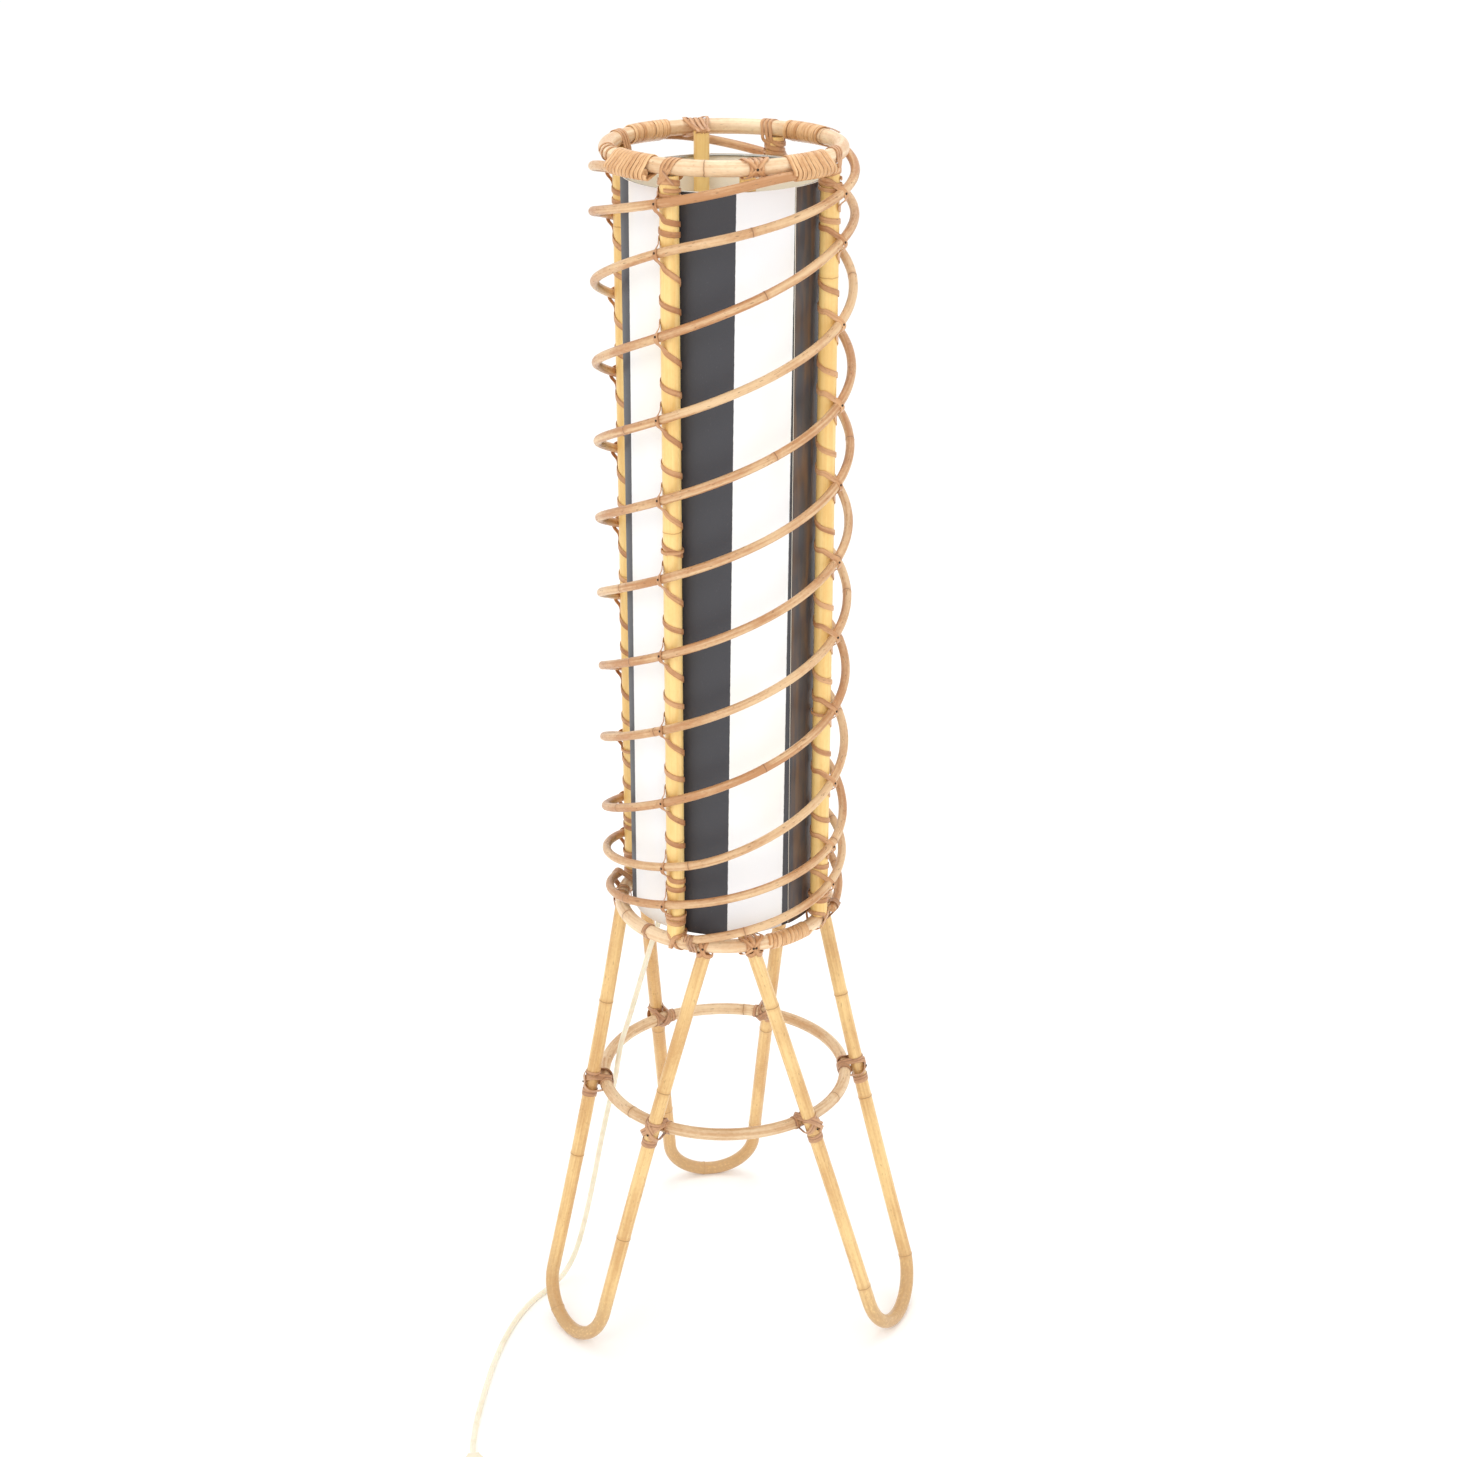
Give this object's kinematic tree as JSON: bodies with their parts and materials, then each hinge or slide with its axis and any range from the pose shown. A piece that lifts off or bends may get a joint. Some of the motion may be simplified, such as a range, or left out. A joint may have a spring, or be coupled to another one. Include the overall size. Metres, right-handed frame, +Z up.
{
  "type": "floor lamp",
  "caption": "Slim rattan floor lamp: hairpin cane legs and a stretcher hoop carry a tall cage of poles and spiral rods round a striped cylinder shade, with lampholder and mains lead.",
  "frame": {"origin": "middle of the lamp's footprint box at floor level, without the lead", "axes": "+Z up the lamp, -Y towards the front, between the left and right legs, +X to the right seen from the front"},
  "size_m": [0.4617, 0.6789, 1.2522],
  "materials": {
    "hoop_cane": "satin rattan skin",
    "leg_cane": "glossy varnished cane",
    "pole_cane": "satin varnished cane",
    "rod_cane": "satin rattan skin",
    "cane_strip": "satin split cane",
    "shade_sheet": "laminated sheet with broad charcoal and white stripes",
    "steel": "zinc plated",
    "brass": "dull brass",
    "holder_plastic": "ivory moulded plastic",
    "bulb_glass": "frosted opal",
    "cord_sheath": "ivory flexible sheath",
    "switch_plastic": "ivory moulded plastic",
    "rocker_plastic": "brown moulded plastic"
  },
  "bodies": {
    "lamp": {"top_ring": "hoop_cane", "bottom_ring": "hoop_cane", "stretcher_ring": "hoop_cane", "leg_left": "leg_cane", "leg_right": "leg_cane", "leg_rear": "leg_cane", "post_front_left": "pole_cane", "post_front_right": "pole_cane", "post_rear_right": "pole_cane", "post_rear_left": "pole_cane", "stay_front": "pole_cane", "stay_rear": "pole_cane", "spiral_rod_1": "rod_cane", "spiral_rod_2": "rod_cane", "spiral_rod_3": "rod_cane", "spiral_rod_4": "rod_cane", "lashing_front_left": "cane_strip", "lashing_front_right": "cane_strip", "lashing_rear_right": "cane_strip", "lashing_rear_left": "cane_strip", "wrap_front_left": "cane_strip", "wrap_front_right": "cane_strip", "wrap_rear_right": "cane_strip", "wrap_rear_left": "cane_strip", "foot_wrap_1": "cane_strip", "foot_wrap_2": "cane_strip", "foot_wrap_3": "cane_strip", "foot_wrap_4": "cane_strip", "tie_left_a": "cane_strip", "tie_left_b": "cane_strip", "tie_right_a": "cane_strip", "tie_right_b": "cane_strip", "tie_rear_a": "cane_strip", "tie_rear_b": "cane_strip", "shade_tube": "shade_sheet", "shade_wire_top": "steel", "shade_wire_bottom": "steel", "cross_strap": "steel", "shade_peg_front": "brass", "shade_peg_rear": "brass", "strap_screw_front": "brass", "strap_screw_rear": "brass", "nipple": "brass", "lock_nut": "brass", "plug_pin_left": "brass", "plug_pin_right": "brass", "holder_cap": "holder_plastic", "holder_body": "holder_plastic", "cord_grip": "holder_plastic", "cord_lead": "cord_sheath", "cord_link": "cord_sheath", "cord_tail": "cord_sheath", "cord_coil": "cord_sheath", "switch_base": "switch_plastic", "switch_cover": "switch_plastic", "plug_body": "switch_plastic"},
    "bulb": {"bulb_cap": "brass", "bulb_glass": "bulb_glass"},
    "rocker": {"switch_rocker": "rocker_plastic"}
  },
  "joints": [
    {"name": "bulb_lift", "type": "slide", "parent": "lamp", "child": "bulb", "axis": [0, 0, 1], "range_m": [0, 0.03]},
    {"name": "rocker_tilt", "type": "hinge", "parent": "lamp", "child": "rocker", "pos_m": [-0.24718, -0.38706, 0.0169], "axis": [0.9877, 0.1564, 0], "range_deg": [-14, 0]}
  ]
}
